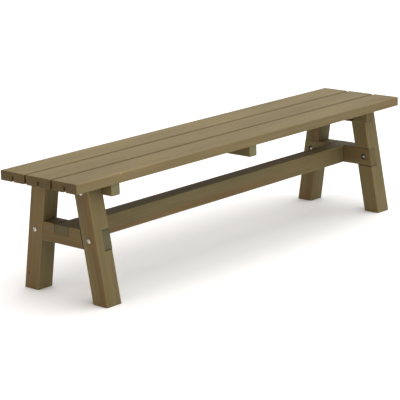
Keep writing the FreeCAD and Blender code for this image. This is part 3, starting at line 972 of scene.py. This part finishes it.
def ring_solid(outline, sides=48, radius_at=None):
    """Ring-shaped solid about +Z whose section is a closed outline of (radius, height)."""
    mesh = bmesh.new()
    rows = []
    for k in range(sides):
        turn = 2 * math.pi * k / sides
        row = []
        for radius, height in outline:
            r = radius_at(turn, radius, height) if radius_at else radius
            row.append(mesh.verts.new((r * math.cos(turn), r * math.sin(turn), height)))
        rows.append(row)
    size = len(outline)
    for k in range(sides):
        here, there = rows[k], rows[(k + 1) % sides]
        for j in range(size):
            mesh.faces.new((here[j], there[j], there[(j + 1) % size], here[(j + 1) % size]))
    bmesh.ops.recalc_face_normals(mesh, faces=mesh.faces)
    return mesh


def from_flat(turn):
    """Angle from the middle of the nearest of a hexagon's six flats."""
    return (turn + math.pi / 6) % (math.pi / 3) - math.pi / 6


def is_thread(radius, shank):
    """Whether a profile point is one of those that the thread's ridge shapes."""
    return abs(radius - shank + THREAD_MARK) < THREAD_MARK / 10


def ridge(turn, height, pitch):
    """Height of a thread's helix at a place: 1 in the groove, 0 on the crest."""
    return abs(2 * ((height / pitch - turn / (2 * math.pi)) % 1.0) - 1)


def bolt_mesh(length):
    """Carriage bolt along +Z: domed head with a key socket below 0, square neck, thread."""
    ball = (HEAD_RADIUS**2 + HEAD_RISE**2) / (2 * HEAD_RISE)
    brim = ball - HEAD_RISE - math.sqrt(ball**2 - (SOCKET + 0.0002) ** 2)
    bottom = brim + SOCKET_DEPTH
    profile = [(0, bottom), (SOCKET - 0.0001, bottom)]
    profile += [(SOCKET, bottom - 0.0002), (SOCKET, brim + 0.0003)]
    profile += [(SOCKET + 0.0002, brim)]
    for k in range(5, 9):
        lean = math.asin(HEAD_RADIUS / ball) * k / 8
        profile.append((ball * math.sin(lean), ball - HEAD_RISE - ball * math.cos(lean)))
    profile[-1] = (HEAD_RADIUS, -HEAD_EDGE)
    profile += [(HEAD_RADIUS - 0.0003, 0.0), (NECK_ROOT, 0.0)]
    profile += [(NECK_TIP, NECK_LENGTH), (BOLT_RADIUS, NECK_END)]
    start = length - THREAD_LENGTH
    threaded = length - BOLT_POINT - start
    profile.append((BOLT_RADIUS, start))
    steps = round(threaded / THREAD_PITCH * 6)
    for k in range(1, steps + 1):
        profile.append((BOLT_RADIUS - THREAD_MARK, start + threaded * k / steps))
    profile += [(BOLT_RADIUS - 0.0009, length), (0, length)]

    def shape(turn, radius, height):
        if height < 0.0 and radius < SOCKET + 0.0003:
            return radius / math.cos(from_flat(turn))
        if 0.0 < height < NECK_END and BOLT_RADIUS < radius <= NECK_ROOT:
            return min(BOLT_RADIUS / max(abs(math.cos(turn)), abs(math.sin(turn))), radius)
        if is_thread(radius, BOLT_RADIUS):
            return BOLT_RADIUS - THREAD_DEPTH * ridge(turn, height, THREAD_PITCH)
        return radius

    return turned(profile, 48, shape)


def washer_mesh():
    soft = 0.0003
    inner, outer, top = WASHER_BORE, WASHER_RADIUS, WASHER_THICKNESS
    return ring_solid([
        (inner, soft), (inner + soft, 0), (outer - soft, 0), (outer, soft),
        (outer, top - soft), (outer - soft, top), (inner + soft, top), (inner, top - soft),
    ])


def nut_mesh():
    bore = BOLT_RADIUS + 0.0001
    corner = NUT_FLATS / 2 / math.cos(math.pi / 6)
    flat, top = NUT_FLATS / 2, NUT_HEIGHT
    rise = (corner - flat) * math.tan(math.radians(30))
    face, ease = flat * NUT_FACE, 0.0004
    outline = [(bore, ease), (bore + ease, 0), (face, 0)]
    outline += [(corner, rise * k / 3) for k in range(1, 4)]
    outline += [(corner, top - rise * k / 3) for k in range(3, 0, -1)]
    outline += [(face, top), (bore + ease, top), (bore, top - ease)]

    def hexagon(turn, radius, height):
        if radius < flat * 0.99:
            return radius
        wall = flat / math.cos(from_flat(turn))
        edge = min(height, top - height)
        cone = face + (corner - face) * min(1.0, edge / rise)
        return min(wall, max(cone, face))

    return ring_solid(outline, 72, hexagon)


def screw_mesh(length):
    """Wood screw along +Z: round head below 0, threaded shank and point above."""
    head, core = SCREW_HEAD, SCREW_RADIUS * SCREW_CORE
    profile = [(0, -SCREW_HEAD_RISE)]
    for k in range(1, 7):
        lean = math.radians(90) * k / 6
        rise = -SCREW_HEAD_RISE * (0.25 + 0.75 * math.cos(lean))
        profile.append((head * math.sin(lean), rise))
    profile += [(head, -0.0003), (head - 0.0003, 0.0), (core, 0.0005)]
    start = length * SCREW_PLAIN
    profile.append((core, start))
    steps = round((length - start) / SCREW_PITCH * 5)
    for k in range(1, steps):
        profile.append((SCREW_RADIUS - THREAD_MARK, start + (length - start) * k / steps))
    profile.append((0, length))

    def shape(turn, radius, height):
        if is_thread(radius, SCREW_RADIUS):
            depth = min(1.0, ridge(turn, height, SCREW_PITCH) * 1.6)
            full = SCREW_RADIUS - SCREW_THREAD_DEPTH * depth
            return full * min(1.0, max(0.08, (length - height) / SCREW_TIP))
        return radius

    return turned(profile, 24, shape)


def with_cross(mesh_data):
    """Cross recess cut into a screw head."""
    piece = add_object("screw_pattern", mesh_data)
    reach, half = CROSS_REACH, CROSS_WIDTH / 2
    low, high = -SCREW_HEAD_RISE - CROSS_PROUD, -SCREW_HEAD_RISE + CROSS_DEPTH

    def slot_one(mesh):
        block(mesh, (-reach, -half, low), (reach, half, high))

    def slot_two(mesh):
        block(mesh, (-half, -reach, low), (half, reach, high))

    cut(piece, slot_one, slot_two)
    soften(piece, FASTENER_BREAK)
    data = piece.data
    bpy.data.objects.remove(piece)
    return data


def to_data(name, mesh):
    """Softened mesh data that several fasteners can share."""
    holder = to_object(name, mesh)
    soften(holder, FASTENER_BREAK)
    data = holder.data
    bpy.data.objects.remove(holder)
    return data


def put(name, data, spot, axis, turn, node, material):
    """One fastener with its +Z along an axis, turned about it."""
    piece = add_object(name, data)
    face = axis.to_track_quat("Z", "Y").to_matrix().to_4x4()
    piece.matrix_world = Matrix.Translation(spot) @ face @ Matrix.Rotation(turn, 4, "Z")
    if not data.materials:
        data.materials.append(material)
    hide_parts(node)
    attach(piece, "root")


leg_low, leg_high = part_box("leg_right_front")
bearer_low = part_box("bearer_right")[0]
LONG_BOLT = to_data("long_bolt", bolt_mesh(leg_high.x - bearer_low.x))
SHORT_BOLT = to_data("short_bolt", bolt_mesh(leg_high.x - leg_low.x))
WASHER = to_data("washer", washer_mesh())
NUT = to_data("nut", nut_mesh())

for end, outward in ENDS:
    for side, across in SIDES:
        tag = "%s_%s" % (end, side)
        inward = X * -outward
        spin = 0.7 * outward + 1.9 * across
        for level, y, z, data, node, seat in (
            ("top", TOP_Y, TOP_Z, LONG_BOLT, "carriage_bolts_long", bearer_low.x),
            ("low", LOW_Y, LOW_Z, SHORT_BOLT, "carriage_bolts_short", leg_low.x),
        ):
            spot = Vector((outward * leg_high.x, across * y, z))
            put("bolt_%s_%s" % (level, tag), data, spot, inward, 0.0, node, ZINC)
            floor_x = outward * (seat + NUT_SINK_DEPTH)
            spot = Vector((floor_x, across * y, z))
            put("washer_%s_%s" % (level, tag), WASHER, spot, inward, 0.0, "washers", SHADED_ZINC)
            spot = spot + inward * WASHER_THICKNESS
            put("nut_%s_%s" % (level, tag), NUT, spot, inward, spin + z * 9, "nuts", SHADED_ZINC)

PLANK_SCREW = with_cross(to_data("plank_screw", screw_mesh(PLANK_SCREW_LENGTH)))
STRETCHER_SCREW = with_cross(to_data("stretcher_screw", screw_mesh(STRETCHER_SCREW_LENGTH)))
for key, row in BEARERS.items():
    node, seed = row[0], row[3]
    low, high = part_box(node)
    for number, y in enumerate(SCREW_Y):
        for side, across in SIDES:
            spot = Vector(((low.x + high.x) / 2, across * y, low.z + SCREW_SINK_DEPTH))
            name = "screw_%s_%s_%d" % (key, side, number + 1)
            put(name, PLANK_SCREW, spot, Z, seed + 1.3 * number * across, "wood_screws", ZINC)
for end, outward in ENDS:
    low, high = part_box("rail_" + end)
    head_z = low.z + SCREW_SINK_DEPTH
    for side, across in SIDES:
        spot = Vector(((low.x + high.x) / 2, across * STRETCHER_SCREW_Y, head_z))
        name = "screw_rail_%s_%s" % (end, side)
        put(name, STRETCHER_SCREW, spot, Z, across * 0.6, "wood_screws", ZINC)

# ---- floor, light and camera
floor_data = bpy.data.meshes.new("floor")
corners = [(-1, -1), (1, -1), (1, 1), (-1, 1)]
corners = [(FLOOR_REACH * x, FLOOR_REACH * y, cad_low.z) for x, y in corners]
floor_data.from_pydata(corners, [], [(0, 1, 2, 3)])
floor = add_object("floor", floor_data)
floor_tree = Tree("floor")
floor_tree.shader.inputs["Base Color"].default_value = colour(0.78, 0.78, 0.78)
floor_tree.shader.inputs["Roughness"].default_value = 0.95
floor_tree.shader.inputs["Specular IOR Level"].default_value = 0.1
floor_data.materials.append(floor_tree.material)
floor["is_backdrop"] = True


def towards(azimuth, elevation):
    """Direction of an azimuth (0 = -Y, 90 = +X) and an elevation, in degrees."""
    a, e = math.radians(azimuth), math.radians(elevation)
    return Vector((math.sin(a) * math.cos(e), -math.cos(a) * math.cos(e), math.sin(e)))


def sun(name, azimuth, elevation, strength, angle, tint):
    """Soft distant light from an azimuth and an elevation, as wide as the angle in degrees."""
    data = bpy.data.lights.new(name, "SUN")
    data.energy = strength
    data.angle = math.radians(angle)
    data.color = tint
    lamp = add_object(name, data)
    back = towards(azimuth, elevation)
    lamp.rotation_mode = "QUATERNION"
    lamp.rotation_quaternion = back.to_track_quat("Z", "Y")
    lamp.location = back * 5


# The weak fill is tinted, to match the photograph's redder left-hand faces.
sun("key", 56, 66, 4.4, 110, (1.0, 1.0, 1.0))
sun("fill", -90, 18, 0.60, 60, (1.0, 0.58, 0.22))

world = bpy.data.worlds.new("studio")
bpy.context.scene.world = world
world.use_nodes = True
sky = world.node_tree
# The backdrop is brightest near the horizon, so that low views don't turn grey.
coords = sky.nodes.new("ShaderNodeTexCoord")
parts = sky.nodes.new("ShaderNodeSeparateXYZ")
steepness = sky.nodes.new("ShaderNodeMath")
steepness.operation = "ABSOLUTE"
glow = sky.nodes.new("ShaderNodeMapRange")
glow.interpolation_type = "SMOOTHSTEP"
for name, value in (("From Min", 0.08), ("From Max", 0.34), ("To Min", 1.05), ("To Max", 0.36)):
    glow.inputs[name].default_value = value
sky.links.new(coords.outputs["Generated"], parts.inputs["Vector"])
sky.links.new(parts.outputs["Z"], steepness.inputs[0])
sky.links.new(steepness.outputs[0], glow.inputs["Value"])
sky.links.new(glow.outputs["Result"], sky.nodes["Background"].inputs["Strength"])
sky.nodes["Background"].inputs["Color"].default_value = colour(1.0, 1.0, 1.0)

# The camera stands where the photograph was taken from, found by matching the bench's corners.
CAMERA_AZIMUTH = -47.12     # degrees, 0 is from the front
CAMERA_ELEVATION = 14.35
CAMERA_ROLL = -1.98
CAMERA_DISTANCE = 6.343     # metres from the bench's middle
CAMERA_RIGHT = -0.0668      # how far the camera is moved across its own view
CAMERA_UP = -0.0414
CAMERA_LENS = 150.65        # millimetres, on a sensor 36 wide

a, r = math.radians(CAMERA_AZIMUTH), math.radians(CAMERA_ROLL)
back = towards(CAMERA_AZIMUTH, CAMERA_ELEVATION)
right = Vector((math.cos(a), math.sin(a), 0))
up = back.cross(right)
target = Vector((0, 0, (cad_low.z + cad_high.z) / 2))
eye = target + back * CAMERA_DISTANCE + right * CAMERA_RIGHT + up * CAMERA_UP
rolled_right = right * math.cos(r) + up * math.sin(r)
rolled_up = up * math.cos(r) - right * math.sin(r)
camera_data = bpy.data.cameras.new("camera")
camera_data.sensor_width = 36
camera_data.lens = CAMERA_LENS
camera_data.clip_end = 200
camera = add_object("camera", camera_data)
turn = Matrix((rolled_right, rolled_up, back)).transposed()
camera.matrix_world = Matrix.Translation(eye) @ turn.to_4x4()
bpy.context.scene.camera = camera
bpy.context.scene.view_settings.view_transform = "Standard"

bpy.context.view_layer.update()
low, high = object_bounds()
